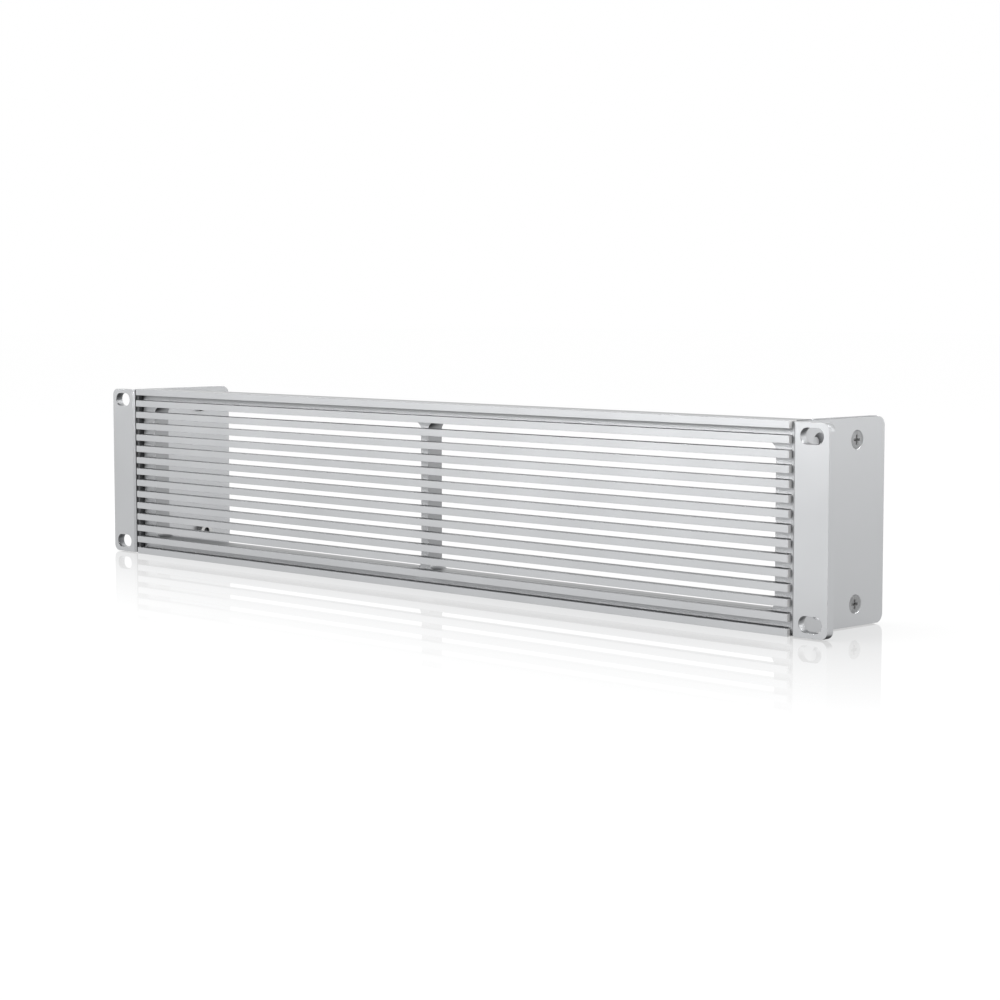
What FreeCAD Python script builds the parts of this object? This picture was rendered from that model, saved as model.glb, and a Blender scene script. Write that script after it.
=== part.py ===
import FreeCAD, Part
import os
import Sketcher

# Vented blanking panel that fills two units of a 19-inch rack.
# X runs to the right as seen from the front, Y to the rear and Z up. The origin is the centre of
# the four rack slots, on the rear face of the ears, where they lie against the rack's rails.

# Each row is an alias, its value in millimetres (or a count) and what it measures.
DIMENSIONS = [
    ("panel_width", 482.6, "across both ears, the 19-inch standard"),
    ("ear_reach", 20.3, "from the frame's side to an ear's outer edge"),
    ("body_height", 88.1, "height of the frame and the grille, two rack units less play"),
    ("bracket_inset", 0.4, "from the frame's top or bottom to the end of a bracket"),
    ("ear_thickness", 4.0, "thickness of the slotted ears"),
    ("ear_corner", 3.5, "radius of the ears' outer corners"),
    ("ear_bevel", 1.0, "bevel along the ears' inner front edge"),
    ("slot_side_inset", 8.75, "from an ear's outer edge to the middle of its slots"),
    ("slot_end_inset", 5.95, "from the frame's top or bottom to the middle of the nearest slots"),
    ("slot_length", 12.0, "rack slot, end to end"),
    ("slot_width", 6.8, "rack slot, across"),
    ("leg_thickness", 2.0, "thickness of the brackets' side legs"),
    ("leg_setback", 2.0, "from the front of the ears to the front edge of the legs"),
    ("leg_reach", 61.8, "from the front of the ears to the rear edge of the legs"),
    ("leg_corner", 4.0, "radius of the legs' rear corners"),
    ("bend_radius", 1.0, "fillet between an ear and its leg, and in the frame's corners"),
    ("slat_count", 15, "bars in the grille"),
    ("slat_height", 3.3, "height of one bar"),
    ("slat_depth", 4.7, "from the front of a bar to the frame it sits on"),
    ("slat_edge", 0.1, "radius along a bar's front edges"),
    ("slat_end_gap", 0.1, "between a bar's end and the leg beside it"),
    ("closed_rows", 2, "bars at the top, and at the bottom, with solid frame behind them"),
    ("frame_depth", 8.9, "front to rear of the frame behind the bars"),
    ("frame_edge", 0.8, "radius along the frame's front side edges"),
    ("stile_width", 10.4, "solid frame beside each window's outer edge"),
    ("post_width", 4.8, "post between the two windows"),
    ("window_corner", 4.0, "radius of the windows' corners"),
    ("flange_thickness", 1.6, "thickness of the frame's side flanges"),
    ("flange_inset", 0.3, "from the rear edge of the legs forward to the rear edge of the flanges"),
    ("flange_corner", 4.0, "radius of the flanges' rear corners"),
    ("relief_size", 0.8, "notch in the flange edges where they leave the frame"),
    ("screw_setback", 42.8, "from the front of the ears to the screws"),
    ("screw_inset", 9.6, "from the frame's top or bottom to the nearest screws"),
    ("spare_hole_pitch", 25.4, "from the screws forward to the spare holes"),
    ("screw_hole", 4.5, "clearance hole in the legs"),
    ("countersink_diameter", 8.3, "mouth of the countersinks"),
    ("head_diameter", 7.6, "across a screw head"),
    ("screw_length", 6.0, "screw, from the top of its head to its tip"),
    ("thread_core", 3.3, "core of the screw thread, and the bore of the nuts"),
    ("recess_span", 4.2, "cross recess, tip to tip"),
    ("recess_arm", 1.1, "width of a recess arm"),
    ("recess_depth", 1.5, "depth of the cross recess"),
    ("nut_diameter", 7.2, "across a clinch nut"),
    ("nut_height", 3.6, "how far a nut stands off the flange"),
    ("nut_shank", 5.4, "hole in the flange that a nut is pressed into"),
    ("nut_shank_recess", 0.5, "from the end of a nut's shank to the flange's outer face"),
    ("fit_clearance", 0.05, "radial play of the screws and the nuts' shanks"),
]

RECESS_TAPER_DEG = -8.0
COUNTERSINK_DEG = 90.0
FULL_TURN_DEG = 360.0
SHEET_NAME = "dims"
# Points closer than this, in millimetres, count as being in the same place.
SAME_PLACE = 1e-6


class Size:
    """A length that carries both its value and the sheet expression that drives it."""

    def __init__(self, value, text):
        self.value = value
        self.text = text

    def __add__(self, other):
        other = as_size(other)
        return Size(self.value + other.value, f"({self.text} + {other.text})")

    def __sub__(self, other):
        other = as_size(other)
        return Size(self.value - other.value, f"({self.text} - {other.text})")

    def __mul__(self, other):
        other = as_size(other)
        return Size(self.value * other.value, f"({self.text} * {other.text})")

    def __truediv__(self, other):
        other = as_size(other)
        return Size(self.value / other.value, f"({self.text} / {other.text})")

    def __neg__(self):
        return Size(-self.value, f"(-1 * {self.text})")


def as_size(number):
    return number if isinstance(number, Size) else Size(number, repr(number))


def fill_sheet(doc):
    """Writes the driving dimensions to the sheet and returns them, and two that follow, by name."""
    sheet = doc.addObject("Spreadsheet::Sheet", SHEET_NAME)
    sizes = {}
    for row, (alias, value, meaning) in enumerate(DIMENSIONS, start=1):
        sheet.set(f"A{row}", meaning)
        sheet.set(f"B{row}", str(value))
        sheet.setAlias(f"B{row}", alias)
        sizes[alias] = Size(value, f"{SHEET_NAME}.{alias}")
    doc.recompute()
    sizes["body_width"] = sizes["panel_width"] - sizes["ear_reach"] * 2
    sizes["screw_height"] = sizes["body_height"] / 2 - sizes["screw_inset"]
    return sizes


def new_body(doc, label):
    body = doc.addObject("PartDesign::Body", label)
    body.Label = label
    return body


def origin_feature(body, role):
    return next(feature for feature in body.Origin.OriginFeatures if feature.Role == role)


def new_sketch(body, name, plane, offset=None):
    """Adds a sketch on one of the body's origin planes, moved along its normal by the offset."""
    sketch = body.newObject("Sketcher::SketchObject", name)
    sketch.AttachmentSupport = (origin_feature(body, plane), [""])
    sketch.MapMode = "FlatFace"
    if offset is not None:
        sketch.setExpression("AttachmentOffset.Base.z", offset.text)
    return sketch


def dimension(sketch, kind, where, size):
    """Adds a dimension that follows the sheet."""
    index = sketch.addConstraint(Sketcher.Constraint(kind, *where, size.value))
    sketch.setExpression(f"Constraints[{index}]", size.text)


def place_point(sketch, geometry, point, x, y):
    """Ties a point of the sketch to its two coordinates; a plain 0 lies on the axis."""
    for coordinate, kind, axis in ((x, "DistanceX", -2), (y, "DistanceY", -1)):
        if isinstance(coordinate, Size):
            dimension(sketch, kind, (geometry, point), coordinate)
        else:
            sketch.addConstraint(Sketcher.Constraint("PointOnObject", geometry, point, axis))


def vector(x, y):
    return FreeCAD.Vector(as_size(x).value, as_size(y).value, 0)


def draw_polygon(sketch, corners):
    """Draws a closed outline of straight lines through the corners."""
    first = sketch.GeometryCount
    count = len(corners)
    for number, corner in enumerate(corners):
        following = corners[(number + 1) % count]
        sketch.addGeometry(Part.LineSegment(vector(*corner), vector(*following)))
    for number, corner in enumerate(corners):
        previous = first + (number - 1) % count
        sketch.addConstraint(Sketcher.Constraint("Coincident", previous, 2, first + number, 1))
        place_point(sketch, first + number, 1, *corner)


def draw_rectangle(sketch, left, bottom, right, top):
    draw_polygon(sketch, [(left, bottom), (right, bottom), (right, top), (left, top)])


def draw_circle(sketch, x, y, diameter):
    circle = Part.Circle(vector(x, y), FreeCAD.Vector(0, 0, 1), diameter.value / 2)
    index = sketch.addGeometry(circle)
    place_point(sketch, index, 3, x, y)
    dimension(sketch, "Diameter", (index,), diameter)


def draw_slot(sketch, x, y, length, width):
    """Draws a slot with round ends, its length along the sketch's first axis."""
    radius = width / 2
    reach = length / 2 - radius
    left, right = x - reach, x + reach
    below, above = y - radius, y + radius
    left_arc = Part.Arc(vector(left, above), vector(left - radius, y), vector(left, below))
    right_arc = Part.Arc(vector(right, below), vector(right + radius, y), vector(right, above))
    arcs = [sketch.addGeometry(left_arc), sketch.addGeometry(right_arc)]
    floor = sketch.addGeometry(Part.LineSegment(vector(left, below), vector(right, below)))
    roof = sketch.addGeometry(Part.LineSegment(vector(right, above), vector(left, above)))
    # A drawn arc runs anticlockwise, so each one starts where the line before it ends.
    for first, second in ((arcs[0], floor), (floor, arcs[1]), (arcs[1], roof), (roof, arcs[0])):
        sketch.addConstraint(Sketcher.Constraint("Tangent", first, 2, second, 1))
    place_point(sketch, arcs[0], 3, left, y)
    place_point(sketch, arcs[1], 3, right, y)
    dimension(sketch, "Radius", (arcs[0],), radius)


def pad(body, sketch, length, symmetric=False):
    feature = body.newObject("PartDesign::Pad", f"{sketch.Name}_pad")
    feature.Profile = sketch
    feature.setExpression("Length", length.text)
    if symmetric:
        feature.SideType = "Symmetric"
    return feature


def pocket(body, sketch, depth=None, symmetric=False):
    """Cuts the sketch into the body: to the depth, or right through where none is given."""
    feature = body.newObject("PartDesign::Pocket", f"{sketch.Name}_pocket")
    feature.Profile = sketch
    if depth is None:
        feature.Type = "ThroughAll"
    else:
        feature.setExpression("Length", depth.text)
    if symmetric:
        feature.SideType = "Symmetric"
    return feature


def revolve(body, sketch):
    feature = body.newObject("PartDesign::Revolution", f"{sketch.Name}_revolution")
    feature.Profile = sketch
    feature.ReferenceAxis = (sketch, ["V_Axis"])
    feature.Angle = FULL_TURN_DEG
    return feature


def round_edges(doc, body, name, radius, direction, chosen):
    """Fillets the body's straight edges along a direction whose middle point is chosen."""
    doc.recompute()
    base = body.Tip
    names = []
    for number, edge in enumerate(base.Shape.Edges, start=1):
        if isinstance(edge.Curve, Part.Line) and edge.Curve.Direction.cross(direction).Length < SAME_PLACE:
            if chosen(edge.CenterOfMass):
                names.append(f"Edge{number}")
    feature = body.newObject("PartDesign::Fillet", name)
    feature.Base = (base, names)
    feature.setExpression("Radius", radius.text)
    return feature


def same_line(point, x, y):
    """Whether the point lies on the upright line at y, at x on either side of the middle."""
    return abs(abs(point.x) - x.value) < SAME_PLACE and abs(point.y - as_size(y).value) < SAME_PLACE


def place(item, x, y, z):
    """Ties the item's place to the sheet; a plain 0 is left at the origin."""
    for axis, coordinate in (("x", x), ("y", y), ("z", z)):
        if isinstance(coordinate, Size):
            item.setExpression(f"Placement.Base.{axis}", coordinate.text)


def make_slats(doc, size, ear_front):
    """The grille's bars, numbered from the top, each with its back on the frame's front face."""
    count = size["slat_count"].value
    pitch = (size["body_height"] - size["slat_height"]) / (size["slat_count"] - 1)
    length = size["body_width"] - size["slat_end_gap"] * 2
    half_height = size["slat_height"] / 2
    top_middle = size["body_height"] / 2 - half_height
    slats = []
    for number in range(count):
        body = new_body(doc, f"slat_{number + 1:02d}")
        section = new_sketch(body, f"{body.Name}_section", "YZ_Plane")
        draw_rectangle(section, -size["slat_depth"], -half_height, 0, half_height)
        pad(body, section, length, symmetric=True)
        front = -size["slat_depth"].value
        round_edges(
            doc, body, f"{body.Name}_rounding", size["slat_edge"], FreeCAD.Vector(1, 0, 0),
            lambda middle: abs(middle.y - front) < SAME_PLACE,
        )
        place(body, 0, ear_front + size["slat_depth"], top_middle - pitch * number)
        slats.append(body)
    return slats


def make_front_frame(doc, size, ear_front):
    """The ring behind the bars, with its windows and the side flanges that carry the ears."""
    half_width = size["body_width"] / 2
    half_height = size["body_height"] / 2
    inner = half_width - size["flange_thickness"]
    front = ear_front + size["slat_depth"]
    rear = front + size["frame_depth"]
    flange_rear = ear_front + size["leg_reach"] - size["flange_inset"]

    body = new_body(doc, "front_frame")
    plan = new_sketch(body, "frame_plan", "XY_Plane")
    draw_polygon(plan, [
        (-half_width, front), (half_width, front),
        (half_width, flange_rear), (inner, flange_rear),
        (inner, rear), (-inner, rear),
        (-inner, flange_rear), (-half_width, flange_rear),
    ])
    pad(body, plan, size["body_height"], symmetric=True)

    # The windows reach from the last closed row at the top to the first one at the bottom.
    pitch = (size["body_height"] - size["slat_height"]) / (size["slat_count"] - 1)
    rail_height = pitch * (size["closed_rows"] - 1) + size["slat_height"]
    window_top = half_height - rail_height
    window_outer = half_width - size["stile_width"]
    window_inner = size["post_width"] / 2
    windows = new_sketch(body, "windows", "XZ_Plane")
    draw_rectangle(windows, -window_outer, -window_top, -window_inner, window_top)
    draw_rectangle(windows, window_inner, -window_top, window_outer, window_top)
    pocket(body, windows)
    round_edges(
        doc, body, "window_corners", size["window_corner"], FreeCAD.Vector(0, 1, 0),
        lambda middle: abs(middle.x) < window_outer.value + SAME_PLACE,
    )
    round_edges(
        doc, body, "flange_corners", size["flange_corner"], FreeCAD.Vector(1, 0, 0),
        lambda middle: abs(middle.y - flange_rear.value) < SAME_PLACE,
    )
    round_edges(
        doc, body, "frame_bends", size["bend_radius"], FreeCAD.Vector(0, 0, 1),
        lambda middle: same_line(middle, inner, rear),
    )
    round_edges(
        doc, body, "frame_side_edges", size["frame_edge"], FreeCAD.Vector(0, 0, 1),
        lambda middle: same_line(middle, half_width, front),
    )

    notches = new_sketch(body, "corner_reliefs", "YZ_Plane")
    notch_start = rear + size["bend_radius"]
    notch_end = notch_start + size["relief_size"]
    notch_floor = half_height - size["relief_size"]
    draw_rectangle(notches, notch_start, notch_floor, notch_end, half_height)
    draw_rectangle(notches, notch_start, -half_height, notch_end, -notch_floor)
    pocket(body, notches, symmetric=True)

    nut_holes = new_sketch(body, "nut_holes", "YZ_Plane")
    screw_y = ear_front + size["screw_setback"]
    for screw_z in (size["screw_height"], -size["screw_height"]):
        draw_circle(nut_holes, screw_y, screw_z, size["nut_shank"])
    pocket(body, nut_holes, symmetric=True)
    return body


def make_right_bracket(doc, size, ear_front):
    """L-shaped rack ear: a thick slotted ear and a thin leg along the frame's side."""
    half_panel = size["panel_width"] / 2
    leg_inner = size["body_width"] / 2
    leg_outer = leg_inner + size["leg_thickness"]
    leg_front = ear_front + size["leg_setback"]
    leg_rear = ear_front + size["leg_reach"]
    bevel_end = ear_front + size["ear_bevel"]

    body = new_body(doc, "right_ear_bracket")
    plan = new_sketch(body, "bracket_plan", "XY_Plane")
    draw_polygon(plan, [
        (leg_outer + size["ear_bevel"], ear_front), (half_panel, ear_front),
        (half_panel, 0), (leg_outer, 0),
        (leg_outer, leg_rear), (leg_inner, leg_rear),
        (leg_inner, leg_front), (leg_outer, leg_front),
        (leg_outer, bevel_end),
    ])
    pad(body, plan, size["body_height"] - size["bracket_inset"] * 2, symmetric=True)
    round_edges(
        doc, body, "ear_corners", size["ear_corner"], FreeCAD.Vector(0, 1, 0),
        lambda middle: abs(middle.x - half_panel.value) < SAME_PLACE,
    )
    round_edges(
        doc, body, "leg_corners", size["leg_corner"], FreeCAD.Vector(1, 0, 0),
        lambda middle: abs(middle.y - leg_rear.value) < SAME_PLACE,
    )
    round_edges(
        doc, body, "bracket_bend", size["bend_radius"], FreeCAD.Vector(0, 0, 1),
        lambda middle: same_line(middle, leg_outer, 0),
    )

    slots = new_sketch(body, "rack_slots", "XZ_Plane")
    slot_x = half_panel - size["slot_side_inset"]
    slot_height = size["body_height"] / 2 - size["slot_end_inset"]
    for slot_z in (slot_height, -slot_height):
        draw_slot(slots, slot_x, slot_z, size["slot_length"], size["slot_width"])
    pocket(body, slots, symmetric=True)

    centres = new_sketch(body, "countersunk_holes", "YZ_Plane", offset=leg_outer)
    screw_y = ear_front + size["screw_setback"]
    for hole_y in (screw_y, screw_y - size["spare_hole_pitch"]):
        for hole_z in (size["screw_height"], -size["screw_height"]):
            draw_circle(centres, hole_y, hole_z, size["screw_hole"])
    doc.recompute()
    hole = body.newObject("PartDesign::Hole", "countersinks")
    hole.Profile = centres
    hole.DepthType = "ThroughAll"
    hole.setExpression("Diameter", size["screw_hole"].text)
    hole.HoleCutType = "Countersink"
    hole.HoleCutCountersinkAngle = COUNTERSINK_DEG
    hole.setExpression("HoleCutDiameter", size["countersink_diameter"].text)
    return body


def mirror_to_left(doc, source, label):
    """The same piece on the other side of the panel's middle plane."""
    mirrored = doc.addObject("Part::Mirroring", label)
    mirrored.Label = label
    mirrored.Source = source
    mirrored.Normal = FreeCAD.Vector(1, 0, 0)
    return mirrored


def make_screw(doc, size, label):
    """Countersunk screw along its own Z axis, with the top of its head at 0."""
    head_radius = size["head_diameter"] / 2
    core_radius = size["thread_core"] / 2 - size["fit_clearance"]
    body = new_body(doc, label)
    profile = new_sketch(body, f"{label}_profile", "XZ_Plane")
    # The head's cone is at half a right angle, so it narrows by its own height.
    draw_polygon(profile, [
        (0, 0), (head_radius, 0),
        (core_radius, core_radius - head_radius), (core_radius, -size["screw_length"]),
        (0, -size["screw_length"]),
    ])
    revolve(body, profile)

    recess = new_sketch(body, f"{label}_recess", "XY_Plane")
    tip = size["recess_span"] / 2
    arm = size["recess_arm"] / 2
    corners = []
    quarter = [(arm, tip), (arm, arm), (tip, arm)]
    for _ in range(4):
        corners += quarter
        quarter = [(y, -x) for x, y in quarter]
    draw_polygon(recess, corners)
    cross = pocket(body, recess, depth=size["recess_depth"])
    cross.TaperAngle = RECESS_TAPER_DEG
    return body


def make_clinch_nut(doc, size, label):
    """Round nut along its own Z axis, with its seat at 0 and its shank below."""
    bore = size["thread_core"] / 2
    shank = size["nut_shank"] / 2 - size["fit_clearance"]
    shank_end = size["nut_shank_recess"] - size["flange_thickness"]
    outer = size["nut_diameter"] / 2
    body = new_body(doc, label)
    profile = new_sketch(body, f"{label}_profile", "XZ_Plane")
    draw_polygon(profile, [
        (bore, shank_end), (shank, shank_end),
        (shank, 0), (outer, 0),
        (outer, size["nut_height"]), (bore, size["nut_height"]),
    ])
    revolve(body, profile)
    return body


def make_fasteners(doc, size, ear_front):
    """A screw and its nut at the top and the bottom of each leg."""
    half_width = size["body_width"] / 2
    y = ear_front + size["screw_setback"]
    # A head sinks until its cone meets the countersink, less the play between the two.
    sink = (size["countersink_diameter"] - size["head_diameter"]) / 2 - size["fit_clearance"]
    head_x = half_width + size["leg_thickness"] - sink
    seat_x = half_width - size["flange_thickness"]
    up = FreeCAD.Vector(0, 0, 1)
    outward = {"right": FreeCAD.Vector(1, 0, 0), "left": FreeCAD.Vector(-1, 0, 0)}
    fasteners = []
    for side, direction in outward.items():
        for level, z in (("upper", size["screw_height"]), ("lower", -size["screw_height"])):
            screw = make_screw(doc, size, f"{level}_{side}_screw")
            screw.Placement.Rotation = FreeCAD.Rotation(up, direction)
            place(screw, head_x if side == "right" else -head_x, y, z)
            nut = make_clinch_nut(doc, size, f"{level}_{side}_clinch_nut")
            nut.Placement.Rotation = FreeCAD.Rotation(up, -direction)
            place(nut, seat_x if side == "right" else -seat_x, y, z)
            fasteners += [screw, nut]
    return fasteners


def check_document(doc, pieces):
    """Stops if an object failed, a cut removed nothing or a piece isn't one sound solid."""
    for item in doc.Objects:
        if "Invalid" in item.State or "Error" in item.State:
            raise RuntimeError(f"{item.Label} failed: {item.State}")
        if item.TypeId in ("PartDesign::Pocket", "PartDesign::Hole"):
            if item.Shape.Volume >= item.BaseFeature.Shape.Volume:
                raise RuntimeError(f"{item.Label} cuts nothing")
    for piece in pieces:
        shape = piece.Shape
        if shape.isNull() or not shape.isValid() or len(shape.Solids) != 1:
            raise RuntimeError(f"{piece.Label} is not one sound solid")


def main():
    doc = FreeCAD.newDocument("vented_blanking_panel")
    size = fill_sheet(doc)
    ear_front = -size["ear_thickness"]
    right_bracket = make_right_bracket(doc, size, ear_front)
    pieces = [make_front_frame(doc, size, ear_front), right_bracket]
    pieces.append(mirror_to_left(doc, right_bracket, "left_ear_bracket"))
    pieces += make_slats(doc, size, ear_front)
    pieces += make_fasteners(doc, size, ear_front)
    doc.recompute()
    check_document(doc, pieces)
    os.makedirs("parts", exist_ok=True)
    for piece in pieces:
        piece.Shape.exportStep(f"parts/{piece.Label}.step")


main()
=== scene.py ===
import math

import bpy
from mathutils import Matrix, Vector


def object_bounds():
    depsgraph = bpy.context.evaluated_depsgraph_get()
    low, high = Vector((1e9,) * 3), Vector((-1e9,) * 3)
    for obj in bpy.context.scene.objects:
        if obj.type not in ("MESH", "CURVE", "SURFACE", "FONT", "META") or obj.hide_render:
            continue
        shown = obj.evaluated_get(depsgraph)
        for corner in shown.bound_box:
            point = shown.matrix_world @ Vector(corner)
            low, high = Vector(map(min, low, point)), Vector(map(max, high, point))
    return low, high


# Vented blanking panel for a 19-inch rack: looks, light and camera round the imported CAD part.
# Lengths are in metres. X runs to the right of the panel's front, Y to the rear and Z up.

MM = 0.001

# The camera that took the photograph, found from the panel's known width and its slots.
CAMERA_PLACE = (0.8272, -0.7696, 0.09595)
CAMERA_YAW_DEG = 45.24
CAMERA_PITCH_DEG = 4.96
CAMERA_LENS_MM = 86.566
CAMERA_SENSOR_MM = 36.0
CAMERA_CLIP = (0.05, 50.0)

# The panel's outside, the outer faces of its legs, and the rear face of the frame behind the bars.
PANEL_HALF_WIDTH = 0.2413
PANEL_FRONT = -0.004
PANEL_REAR = 0.0578
LEG_OUTER = 0.2229
FRAME_REAR = 0.0096

FLOOR_SIZE = 12.0
FLOOR_COLOUR = (0.95, 0.95, 0.95, 1.0)
# The share of the floor's look that is plain white. The rest is lit by the studio.
FLOOR_WHITE_SHARE = 0.93
# The floor mirrors the panel most at its foot, and not at all this far from it.
FLOOR_MIRROR_SHARE = 0.36
FLOOR_MIRROR_REACH = 0.20
FLOOR_MIRROR_ROUGHNESS = 0.02
# The panel's shadow takes the floor down to this tone where its closeness has fallen as far as given here.
FLOOR_SHADOW_TONE = 0.90
FLOOR_SHADOW_CLOSENESS = 0.3
FLOOR_SHADOW_REACH = 0.07

# Each lamp's name, place, target, width and height, and power in watts.
LAMPS = (
    ("key", (-0.400, -0.525, 0.344), (0.037, -0.033, 0.0), (1.40, 0.28), 12.8),
    ("side_fill", (1.2, 1.1, 0.35), (0.22, 0.03, 0.0), (1.0, 0.8), 2.3),
    ("accent", (-0.36, -0.76, 0.22), (0.232, -0.004, 0.038), (0.25, 0.25), 0.52),
    ("overhead", (0.63, 0.44, 0.95), (0.23, 0.04, 0.0), (0.8, 0.9), 4.5),
)
# The share of a lamp's light that is left on what is seen by way of another surface.
MIRRORED_LAMP_SHARE = 0.08

# The aluminium is a touch bluer than neutral grey, and its tone wanders by this share to either side.
COOL_TINT = (0.985, 1.0, 1.020)
TONE_SPREAD = 0.018
# The bars and brackets carry the aluminium's own tone. The frame's tone is a darker, shaded copy of it:
# painted shade, which stays on its window walls and sides and is lifted elsewhere.
BAR_TONE = 0.455
FRAME_SHADED_TONE = 0.26
BRACKET_TONE = 0.45
# Painted light: the bars' end faces are a pale matte grey, so that they look lit.
END_FACE_PAINTED_LIGHT_GREY = (0.78, 0.78, 0.78)
GRAIN_SCALE = 5200.0
GRAIN_SHARE = 0.25
GRAIN_ROUGHNESS = (0.32, 0.36)
GRAIN_BUMP = 0.10
CLOUD_SCALE = 22.0
CLOUD_ROUGHNESS = 0.015
RUBBED_WIDTH = 0.35 * MM
RUBBED_GLOSS = 0.04

# The frame's shaded tone is lifted on its rear face and flanges. In front it is rougher and lifted too, with
# painted shade close below each bar and painted light where no bar is close above: the band of closeness
# towards the light, and the tones at that band's ends.
FRAME_REAR_LIFT = 1.6
FRAME_FRONT_LIFT = 2.0
FRAME_FRONT_ROUGHNESS = 0.12
FLANGE_BAND = (FRAME_REAR - 0.1 * MM, FRAME_REAR + 1.0 * MM)
SHELTER_DIRECTION = (0.0, -0.5, 0.87)
SHELTER_BAND = (0.05, 0.20)
SHELTER_TONES = (0.36, 1.12)

# The fasteners' steel: darkest and lightest tone, then lowest and highest roughness.
SCREW_TONES = ((0.22, 0.223, 0.226), (0.28, 0.284, 0.287))
SCREW_ROUGHNESS = (0.26, 0.36)
NUT_TONES = ((0.42, 0.42, 0.42), (0.53, 0.53, 0.52))
NUT_ROUGHNESS = (0.28, 0.40)
STAIN_SCALE = 420.0
STAIN_BAND = (0.35, 0.65)
RING_FREQUENCY = 190.0
RING_WOBBLE = 5.0
RING_WOBBLE_SCALE = 900.0
RING_BUMP = 0.12
# Painted light: deep in a screw's recess the steel turns to a pale matte grey, so that the recess looks lit.
RECESS_PAINTED_LIGHT_GREY = (0.30, 0.30, 0.30)
RECESS_REACH = 2.5 * MM
RECESS_BAND = (0.8, 0.5)

BUMP_HEIGHT = 0.02 * MM
# Nearly all of a noise lies in this band.
NOISE_BAND = (0.3, 0.7)

# Painted shade is dark and dull. Other surfaces count as close within its reach.
PAINTED_SHADE_COLOUR = (0.022, 0.022, 0.024)
PAINTED_SHADE_ROUGHNESS = 0.75
PAINTED_SHADE_REACH = 8.0 * MM
# Painted shade by place: the closeness where it starts and where it is deepest, and how deep it is there.
BAR_LEDGE_SHADE = (0.56, 0.28, 0.74)
WINDOW_SILL_SHADE = (0.9, 0.6, 0.25)
WINDOW_HEAD_SHADE = (0.9, 0.6, 0.85)
SLOT_SHADE = (0.95, 0.65, 0.95)
LEG_FOOT_SHADE = (0.8, 0.5, 0.9)
BRACKET_HOLE_SHADE = (0.40, 0.12, 0.68)
FASTENER_SHADE = (0.9, 0.6, 0.95)
SCREW_TIP_SHADE = (0.95, 0.75, 0.95)
BAR_ROUNDING_SHADE = 0.7
# Painted shade on the legs' front edges: all along the left one, and on both where a bar ends close by.
LEFT_EDGE_SHADE = 0.85
BAR_END_REACH = 3.0 * MM
BAR_END_BAND = (0.65, 0.45)
BAR_END_SHADE = (0.2, 0.9)

# How far each kind of piece's edges are rounded. The bars' front edges are rounded in the CAD part.
SCREW_EDGE = 0.08 * MM
NUT_EDGE = 0.15 * MM
BRACKET_EDGE = 0.35 * MM
FRAME_EDGE = 0.15 * MM
BAR_EDGE = 0.0
EDGE_SEGMENTS = 3
SHARP_ANGLE_DEG = 40.0
WELD_DISTANCE = 1e-6

CLOSENESS_SAMPLES = 16
EDGE_SAMPLES = 6
# The turn of a rounded normal, as a cosine, where an edge starts to show and where it shows in full.
EDGE_TURN = (0.995, 0.85)


def new_material(name):
    """A node material with an empty tree, ready to be filled."""
    material = bpy.data.materials.new(name)
    material.use_nodes = True
    tree = material.node_tree
    tree.nodes.clear()
    return material, tree


def add(tree, kind, **settings):
    """Adds a node and makes the settings on it."""
    node = tree.nodes.new(kind)
    for name, value in settings.items():
        setattr(node, name, value)
    return node


def link(tree, start, end):
    """Joins an output socket to an input socket."""
    tree.links.new(start, end)


def noise(tree, coordinates, scale, detail, roughness=0.5):
    """Fractal noise over the coordinates, which runs round one half."""
    node = add(tree, "ShaderNodeTexNoise")
    node.inputs["Scale"].default_value = scale
    node.inputs["Detail"].default_value = detail
    node.inputs["Roughness"].default_value = roughness
    link(tree, coordinates, node.inputs["Vector"])
    return node.outputs["Fac"]


def remap(tree, value, low, high, out_low, out_high):
    """Stretches the range low to high onto out_low to out_high, held at both ends."""
    node = add(tree, "ShaderNodeMapRange", clamp=True)
    for name, number in (("From Min", low), ("From Max", high), ("To Min", out_low), ("To Max", out_high)):
        node.inputs[name].default_value = number
    link(tree, value, node.inputs["Value"])
    return node.outputs["Result"]


def fade(tree, value, start, end, full=1.0):
    """Goes from 0 where the value is at the start to full where it is at the end."""
    return remap(tree, value, start, end, 0.0, full)


def math_node(tree, operation, first, second=0.0):
    """One sum on two sockets or plain numbers."""
    node = add(tree, "ShaderNodeMath", operation=operation)
    for socket, value in zip(node.inputs, (first, second)):
        if isinstance(value, (int, float)):
            socket.default_value = value
        else:
            link(tree, value, socket)
    return node.outputs["Value"]


def plus(tree, first, second):
    return math_node(tree, "ADD", first, second)


def minus(tree, first, second):
    return math_node(tree, "SUBTRACT", first, second)


def times(tree, first, second):
    return math_node(tree, "MULTIPLY", first, second)


def larger(tree, first, second):
    return math_node(tree, "MAXIMUM", first, second)


def below(tree, value, limit):
    """1 where the value is below the limit, and 0 elsewhere."""
    return math_node(tree, "LESS_THAN", value, limit)


def magnitude(tree, value):
    return math_node(tree, "ABSOLUTE", value)


def distance(tree, first, second):
    """The straight distance that two offsets at right angles make."""
    return math_node(tree, "SQRT", plus(tree, times(tree, first, first), times(tree, second, second)))


def split_vector(tree, vector):
    """The X, Y and Z outputs of a vector."""
    split = add(tree, "ShaderNodeSeparateXYZ")
    link(tree, vector, split.inputs["Vector"])
    return split.outputs


def blend_colours(tree, factor, first, second):
    """A colour that runs from the first to the second as the factor goes from 0 to 1."""
    node = add(tree, "ShaderNodeMix", data_type="RGBA")
    link(tree, factor, node.inputs["Factor"])
    node.inputs["A"].default_value = (*first, 1.0)
    node.inputs["B"].default_value = (*second, 1.0)
    return node.outputs["Result"]


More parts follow.
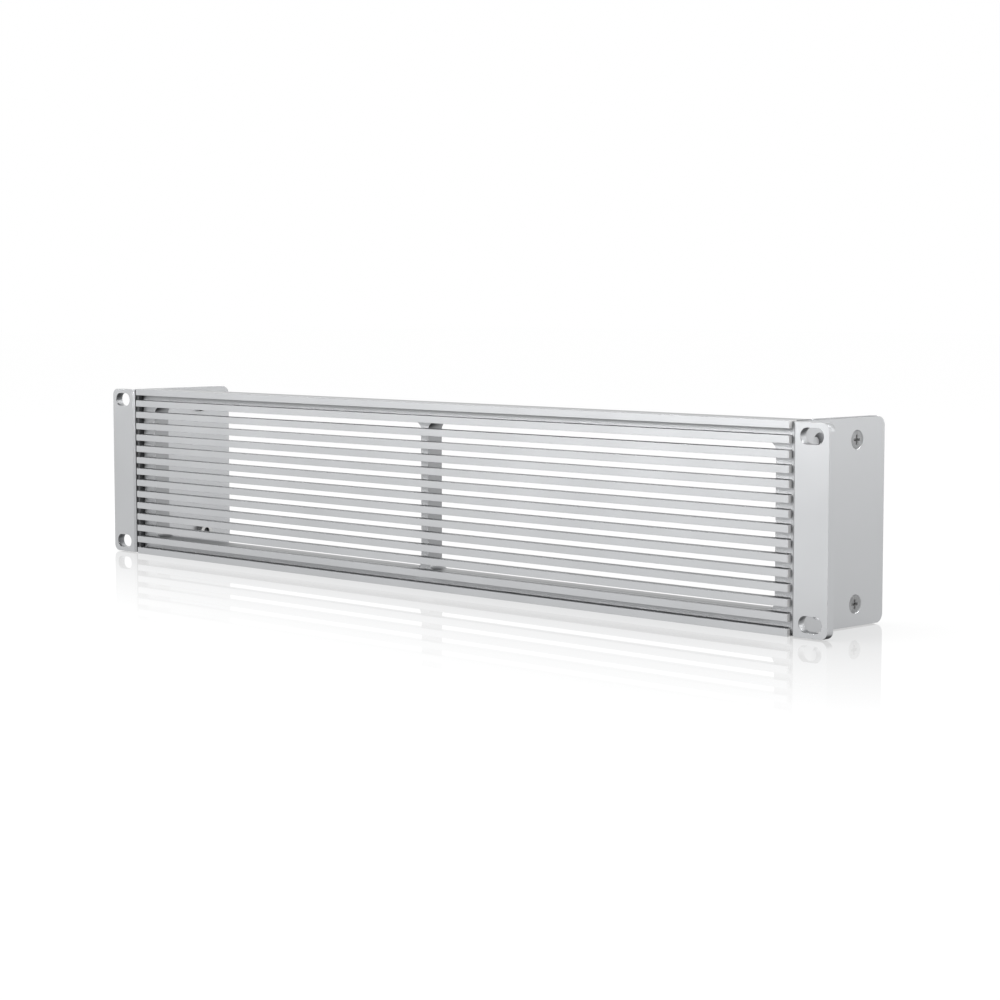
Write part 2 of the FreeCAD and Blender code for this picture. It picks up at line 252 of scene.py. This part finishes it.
def cover(tree, amount, value, top_value):
    """A number that goes from its own value to the one on top as the amount goes from 0 to 1."""
    node = add(tree, "ShaderNodeMix", data_type="FLOAT")
    link(tree, amount, node.inputs["Factor"])
    link(tree, value, node.inputs["A"])
    node.inputs["B"].default_value = top_value
    return node.outputs["Result"]


def cover_colour(tree, amount, colour, top_colour):
    """The colour, going to the one on top as the amount goes from 0 to 1."""
    node = add(tree, "ShaderNodeMix", data_type="RGBA")
    link(tree, amount, node.inputs["Factor"])
    link(tree, colour, node.inputs["A"])
    node.inputs["B"].default_value = (*top_colour, 1.0)
    return node.outputs["Result"]


def edge_mask(tree, radius):
    """Nears 1 along outside edges, from how far a rounded normal turns off the face's own."""
    bevel = add(tree, "ShaderNodeBevel", samples=EDGE_SAMPLES)
    bevel.inputs["Radius"].default_value = radius
    geometry = add(tree, "ShaderNodeNewGeometry")
    turn = add(tree, "ShaderNodeVectorMath", operation="DOT_PRODUCT")
    link(tree, bevel.outputs["Normal"], turn.inputs[0])
    link(tree, geometry.outputs["Normal"], turn.inputs[1])
    return fade(tree, turn.outputs["Value"], *EDGE_TURN)


def position(tree, axis):
    """Where a point of the panel lies along the axis."""
    return split_vector(tree, add(tree, "ShaderNodeNewGeometry").outputs["Position"])[axis]


def facing(tree, axis):
    """How far a face looks along the axis, from its own normal without any bump."""
    return split_vector(tree, add(tree, "ShaderNodeTexCoord").outputs["Normal"])[axis]


def looks_forward(tree):
    """1 on faces that look to the panel's front, and 0 on the others."""
    return fade(tree, facing(tree, "Y"), -0.5, -0.8)


def closeness(tree, reach, direction=None, only_local=False):
    """Nears 0 deep between other surfaces and is 1 on open faces, along the normal or a direction."""
    node = add(tree, "ShaderNodeAmbientOcclusion", samples=CLOSENESS_SAMPLES, only_local=only_local)
    node.inputs["Distance"].default_value = reach
    if direction:
        towards = add(tree, "ShaderNodeCombineXYZ")
        for socket, value in zip(towards.inputs, direction):
            socket.default_value = value
        link(tree, towards.outputs["Vector"], node.inputs["Normal"])
    return node.outputs["AO"]


def corner_painted_shade(tree, shade_band, only_local=False):
    """Painted shade in tight corners and holes, from none where it starts to its full depth."""
    return fade(tree, closeness(tree, PAINTED_SHADE_REACH, only_local=only_local), *shade_band)


def underside_painted_shade(tree, start, shade_band):
    """Painted shade on downward faces that others shelter: the tops of holes, slots and windows."""
    return times(tree, fade(tree, facing(tree, "Z"), start, -0.6), corner_painted_shade(tree, shade_band))


def bar_painted_shade(tree):
    """Painted shade on a bar's upper face, deepest where solid frame stands behind it, and along its rounded
    edge.
    """
    upward = facing(tree, "Z")
    leaning = remap(tree, upward, 0.93, 0.99, 1.0, 0.0)
    rounding = times(tree, fade(tree, upward, 0.05, 0.15, BAR_ROUNDING_SHADE), leaning)
    ledge = times(tree, fade(tree, upward, 0.2, 0.6), corner_painted_shade(tree, BAR_LEDGE_SHADE))
    return larger(tree, rounding, ledge)


def frame_painted_shade(tree):
    """Painted shade above and below the frame's windows."""
    sills = times(tree, fade(tree, facing(tree, "Z"), 0.3, 0.8), corner_painted_shade(tree, WINDOW_SILL_SHADE))
    heads = underside_painted_shade(tree, -0.1, WINDOW_HEAD_SHADE)
    return larger(tree, sills, heads)


def bracket_painted_shade(tree):
    """Painted shade in holes and corners, and on the leg's narrow front edge beside the ends of the bars."""
    across = position(tree, "X")
    inside = below(tree, magnitude(tree, across), LEG_OUTER)
    left_leg = times(tree, below(tree, across, 0.0), LEFT_EDGE_SHADE)
    bar_ends = remap(tree, closeness(tree, BAR_END_REACH), *BAR_END_BAND, *BAR_END_SHADE)
    edge_shade = larger(tree, left_leg, bar_ends)
    front_edge = times(tree, times(tree, looks_forward(tree), inside), edge_shade)
    tilt = plus(tree, times(tree, facing(tree, "Z"), 0.8), times(tree, facing(tree, "Y"), 0.5))
    slots = times(tree, fade(tree, tilt, 0.2, -0.4), corner_painted_shade(tree, SLOT_SHADE, only_local=True))
    shade = larger(tree, slots, underside_painted_shade(tree, -0.25, LEG_FOOT_SHADE))
    holes = larger(tree, corner_painted_shade(tree, BRACKET_HOLE_SHADE), shade)
    return larger(tree, holes, front_edge)


def fastener_painted_shade(tree):
    """Painted shade in the recess and the bore: under their upper walls, and on a screw's end inside its nut.
    """
    outward = times(tree, facing(tree, "X"), position(tree, "X"))
    tip = times(tree, below(tree, outward, -0.1), corner_painted_shade(tree, SCREW_TIP_SHADE))
    return larger(tree, underside_painted_shade(tree, -0.05, FASTENER_SHADE), tip)


def paint_frame_light_and_shade(tree, colour):
    """Lifts the colour on the rear face and the side flanges, and paints light in front where no bar hangs
    close above and shade where one does.
    """
    open_above = closeness(tree, PAINTED_SHADE_REACH, SHELTER_DIRECTION)
    front_tone = times(tree, remap(tree, open_above, *SHELTER_BAND, *SHELTER_TONES), FRAME_FRONT_LIFT)
    front_lift = times(tree, looks_forward(tree), minus(tree, front_tone, 1.0))
    flange = remap(tree, position(tree, "Y"), *FLANGE_BAND, 1.0, FRAME_REAR_LIFT)
    rear = remap(tree, facing(tree, "Y"), 0.5, 0.8, 1.0, FRAME_REAR_LIFT)
    node = add(tree, "ShaderNodeVectorMath", operation="SCALE")
    link(tree, colour, node.inputs["Vector"])
    link(tree, plus(tree, larger(tree, flange, rear), front_lift), node.inputs["Scale"])
    return node.outputs["Vector"]


def finish_material(tree, shader, painted_shade, colour, rough, height, bump_strength):
    """Lays the painted shade over the metal's colour and roughness, adds its bump and joins it to the output.
    """
    link(tree, cover_colour(tree, painted_shade, colour, PAINTED_SHADE_COLOUR), shader.inputs["Base Color"])
    link(tree, cover(tree, painted_shade, rough, PAINTED_SHADE_ROUGHNESS), shader.inputs["Roughness"])
    bump = add(tree, "ShaderNodeBump")
    bump.inputs["Strength"].default_value = bump_strength
    bump.inputs["Distance"].default_value = BUMP_HEIGHT
    link(tree, height, bump.inputs["Height"])
    link(tree, bump.outputs["Normal"], shader.inputs["Normal"])
    link(tree, shader.outputs["BSDF"], add(tree, "ShaderNodeOutputMaterial").inputs["Surface"])


def satin_aluminium(name, tone, make_painted_shade, is_frame=False, pale_painted_ends=False):
    """Bead-blasted, clear anodised aluminium: fine grain, faint clouds, rubbed edges, and painted shade in
    recesses.
    """
    material, tree = new_material(name)
    place = add(tree, "ShaderNodeTexCoord").outputs["Object"]
    grain = noise(tree, place, GRAIN_SCALE, 3.0, 0.6)
    clouds = noise(tree, place, CLOUD_SCALE, 4.0, 0.55)
    shader = add(tree, "ShaderNodeBsdfPrincipled")
    shader.inputs["Metallic"].default_value = 1.0

    mottle = plus(tree, times(tree, clouds, 1.0 - GRAIN_SHARE), times(tree, grain, GRAIN_SHARE))
    dark = tuple(tone * part * (1.0 - TONE_SPREAD) for part in COOL_TINT)
    light = tuple(tone * part * (1.0 + TONE_SPREAD) for part in COOL_TINT)
    colour = blend_colours(tree, fade(tree, mottle, *NOISE_BAND), dark, light)
    grain_rough = remap(tree, grain, *NOISE_BAND, *GRAIN_ROUGHNESS)
    cloud_rough = remap(tree, clouds, *NOISE_BAND, -CLOUD_ROUGHNESS, CLOUD_ROUGHNESS)
    rubbed = times(tree, edge_mask(tree, RUBBED_WIDTH), RUBBED_GLOSS)
    rough = minus(tree, plus(tree, grain_rough, cloud_rough), rubbed)
    # On the frame: painted light and shade on its front, and its shaded tone lifted on the rear face and
    # flanges.
    if is_frame:
        colour = paint_frame_light_and_shade(tree, colour)
        rough = plus(tree, rough, times(tree, looks_forward(tree), FRAME_FRONT_ROUGHNESS))
    # Painted light: the bars' end faces turn to a pale matte grey.
    if pale_painted_ends:
        pale_end = fade(tree, magnitude(tree, facing(tree, "X")), 0.6, 0.9)
        colour = cover_colour(tree, pale_end, colour, END_FACE_PAINTED_LIGHT_GREY)
        link(tree, minus(tree, 1.0, pale_end), shader.inputs["Metallic"])
    finish_material(tree, shader, make_painted_shade(tree), colour, rough, grain, GRAIN_BUMP)
    return material


def turned_steel(name, tones, roughness, painted_light_recess=False):
    """Plated steel turned on a lathe: fine rings round the piece's own axis, which lies along X."""
    material, tree = new_material(name)
    coordinates = add(tree, "ShaderNodeTexCoord")
    place = split_vector(tree, coordinates.outputs["Generated"])
    radius = distance(tree, minus(tree, place["Y"], 0.5), minus(tree, place["Z"], 0.5))
    wobble = noise(tree, coordinates.outputs["Object"], RING_WOBBLE_SCALE, 2.0)
    phase = plus(tree, times(tree, radius, RING_FREQUENCY), times(tree, wobble, RING_WOBBLE))
    rings = math_node(tree, "SINE", phase)
    stain = noise(tree, coordinates.outputs["Object"], STAIN_SCALE, 4.0)
    shader = add(tree, "ShaderNodeBsdfPrincipled")
    shader.inputs["Metallic"].default_value = 1.0

    colour = blend_colours(tree, fade(tree, stain, *STAIN_BAND), *tones)
    rough = remap(tree, stain, *NOISE_BAND, *roughness)
    # Painted light in the screw's recess.
    if painted_light_recess:
        recess = fade(tree, closeness(tree, RECESS_REACH, only_local=True), *RECESS_BAND)
        colour = cover_colour(tree, recess, colour, RECESS_PAINTED_LIGHT_GREY)
        link(tree, minus(tree, 1.0, recess), shader.inputs["Metallic"])
    finish_material(tree, shader, fastener_painted_shade(tree), colour, rough, rings, RING_BUMP)
    return material


def pale_floor():
    """White, smooth tabletop that mirrors the panel close to it and less further out."""
    material, tree = new_material("pale_floor")
    rays = add(tree, "ShaderNodeLightPath").outputs
    place = split_vector(tree, add(tree, "ShaderNodeTexCoord").outputs["Object"])
    beside = larger(tree, minus(tree, magnitude(tree, place["X"]), PANEL_HALF_WIDTH), 0.0)
    behind = larger(tree, minus(tree, place["Y"], PANEL_REAR), 0.0)
    along = larger(tree, minus(tree, PANEL_FRONT, place["Y"]), behind)

    surface = add(tree, "ShaderNodeBsdfDiffuse")
    surface.inputs["Color"].default_value = FLOOR_COLOUR
    glow = add(tree, "ShaderNodeEmission")
    contact = closeness(tree, FLOOR_SHADOW_REACH)
    shadow = remap(tree, contact, FLOOR_SHADOW_CLOSENESS, 1.0, FLOOR_SHADOW_TONE, 1.0)
    link(tree, shadow, glow.inputs["Strength"])
    white = add(tree, "ShaderNodeMixShader")
    reflected = larger(tree, rays["Is Glossy Ray"], rays["Is Transmission Ray"])
    seen = larger(tree, rays["Is Camera Ray"], reflected)
    link(tree, times(tree, seen, FLOOR_WHITE_SHARE), white.inputs["Fac"])
    link(tree, surface.outputs["BSDF"], white.inputs[1])
    link(tree, glow.outputs["Emission"], white.inputs[2])
    mirror = add(tree, "ShaderNodeBsdfGlossy")
    mirror.inputs["Color"].default_value = (1.0, 1.0, 1.0, 1.0)
    mirror.inputs["Roughness"].default_value = FLOOR_MIRROR_ROUGHNESS
    mix = add(tree, "ShaderNodeMixShader")
    away = distance(tree, beside, along)
    share = remap(tree, away, 0.0, FLOOR_MIRROR_REACH, FLOOR_MIRROR_SHARE, 0.0)
    link(tree, times(tree, share, rays["Is Camera Ray"]), mix.inputs["Fac"])
    link(tree, white.outputs["Shader"], mix.inputs[1])
    link(tree, mirror.outputs["BSDF"], mix.inputs[2])
    link(tree, mix.outputs["Shader"], add(tree, "ShaderNodeOutputMaterial").inputs["Surface"])
    return material


def soften_edges(node, width):
    """Rounds a CAD node's sharp edges a little, so that they catch the light."""
    weld = node.modifiers.new("weld", "WELD")
    weld.merge_threshold = WELD_DISTANCE
    bevel = node.modifiers.new("bevel", "BEVEL")
    bevel.width = width
    bevel.segments = EDGE_SEGMENTS
    bevel.limit_method = "ANGLE"
    bevel.angle_limit = math.radians(SHARP_ANGLE_DEG)
    bevel.use_clamp_overlap = True
    bevel.harden_normals = True


def dress_nodes(nodes):
    """Gives each CAD node its metal, and softens its edges where the CAD part leaves them sharp."""
    bar = satin_aluminium("bar_aluminium", BAR_TONE, bar_painted_shade, pale_painted_ends=True)
    frame_metal = satin_aluminium("frame_aluminium", FRAME_SHADED_TONE, frame_painted_shade, is_frame=True)
    bracket = satin_aluminium("bracket_aluminium", BRACKET_TONE, bracket_painted_shade)
    screw_steel = turned_steel("screw_steel", SCREW_TONES, SCREW_ROUGHNESS, painted_light_recess=True)
    nut_steel = turned_steel("nut_steel", NUT_TONES, NUT_ROUGHNESS)
    for name, node in nodes.items():
        if name.endswith("_screw"):
            material, width = screw_steel, SCREW_EDGE
        elif name.endswith("_clinch_nut"):
            material, width = nut_steel, NUT_EDGE
        elif name.endswith("_ear_bracket"):
            material, width = bracket, BRACKET_EDGE
        elif name.startswith("slat_"):
            material, width = bar, BAR_EDGE
        else:
            material, width = frame_metal, FRAME_EDGE
        node.data.materials.clear()
        node.data.materials.append(material)
        if width:
            soften_edges(node, width)


def make_floor(height):
    """The tabletop that the panel stands on."""
    mesh = bpy.data.meshes.new("floor")
    half = FLOOR_SIZE / 2
    corners = [(-half, -half, height), (half, -half, height), (half, half, height), (-half, half, height)]
    mesh.from_pydata(corners, [], [(0, 1, 2, 3)])
    floor = bpy.data.objects.new("floor", mesh)
    bpy.context.scene.collection.objects.link(floor)
    mesh.materials.append(pale_floor())


def dim_in_mirrors(light):
    """Leaves only a share of the lamp's light on what is seen by way of another surface.

    Without it the panel in the floor's mirror is brighter than the panel itself.
    """
    light.cycles.use_multiple_importance_sampling = False
    light.use_nodes = True
    tree = light.node_tree
    tree.nodes.clear()
    emission = add(tree, "ShaderNodeEmission")
    depth = add(tree, "ShaderNodeLightPath").outputs["Ray Depth"]
    link(tree, remap(tree, depth, 1.0, 2.0, 1.0, MIRRORED_LAMP_SHARE), emission.inputs["Strength"])
    link(tree, emission.outputs["Emission"], add(tree, "ShaderNodeOutputLight").inputs["Surface"])


def make_softbox(name, place, target, size, power):
    """A rectangular lamp that faces the target."""
    light = bpy.data.lights.new(name, "AREA")
    light.shape = "RECTANGLE"
    light.size, light.size_y = size
    light.energy = power
    # The lamps shape the metal only: the table is lit by the white studio.
    light.diffuse_factor = 0.0
    dim_in_mirrors(light)
    lamp = bpy.data.objects.new(name, light)
    lamp.location = place
    lamp.rotation_mode = "QUATERNION"
    lamp.rotation_quaternion = (Vector(target) - Vector(place)).to_track_quat("-Z", "Y")
    bpy.context.scene.collection.objects.link(lamp)


def make_world():
    """A plain white studio, the same for every kind of ray."""
    world = bpy.data.worlds.new("studio")
    bpy.context.scene.world = world
    world.use_nodes = True
    tree = world.node_tree
    tree.nodes.clear()
    backdrop = add(tree, "ShaderNodeBackground")
    backdrop.inputs["Color"].default_value = (1.0, 1.0, 1.0, 1.0)
    link(tree, backdrop.outputs["Background"], add(tree, "ShaderNodeOutputWorld").inputs["Surface"])


def make_camera():
    """The photograph's camera."""
    yaw, pitch = math.radians(CAMERA_YAW_DEG), math.radians(CAMERA_PITCH_DEG)
    forward = Vector((-math.sin(yaw) * math.cos(pitch), math.cos(yaw) * math.cos(pitch), -math.sin(pitch)))
    data = bpy.data.cameras.new("camera")
    data.sensor_width = CAMERA_SENSOR_MM
    data.lens = CAMERA_LENS_MM
    data.clip_start, data.clip_end = CAMERA_CLIP
    camera = bpy.data.objects.new("camera", data)
    camera.location = CAMERA_PLACE
    camera.rotation_mode = "QUATERNION"
    camera.rotation_quaternion = forward.to_track_quat("-Z", "Y")
    bpy.context.scene.collection.objects.link(camera)
    bpy.context.scene.camera = camera


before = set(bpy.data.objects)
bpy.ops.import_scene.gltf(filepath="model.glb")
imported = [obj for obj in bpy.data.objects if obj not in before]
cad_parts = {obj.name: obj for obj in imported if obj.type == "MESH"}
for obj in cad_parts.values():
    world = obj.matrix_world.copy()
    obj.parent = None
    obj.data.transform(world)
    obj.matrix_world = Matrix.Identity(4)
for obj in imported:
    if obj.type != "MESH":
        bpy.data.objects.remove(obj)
cad_low, cad_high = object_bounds()
bpy.context.scene.view_settings.view_transform = "Standard"
dress_nodes(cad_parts)
make_floor(cad_low.z)
make_world()
for lamp in LAMPS:
    make_softbox(*lamp)
make_camera()
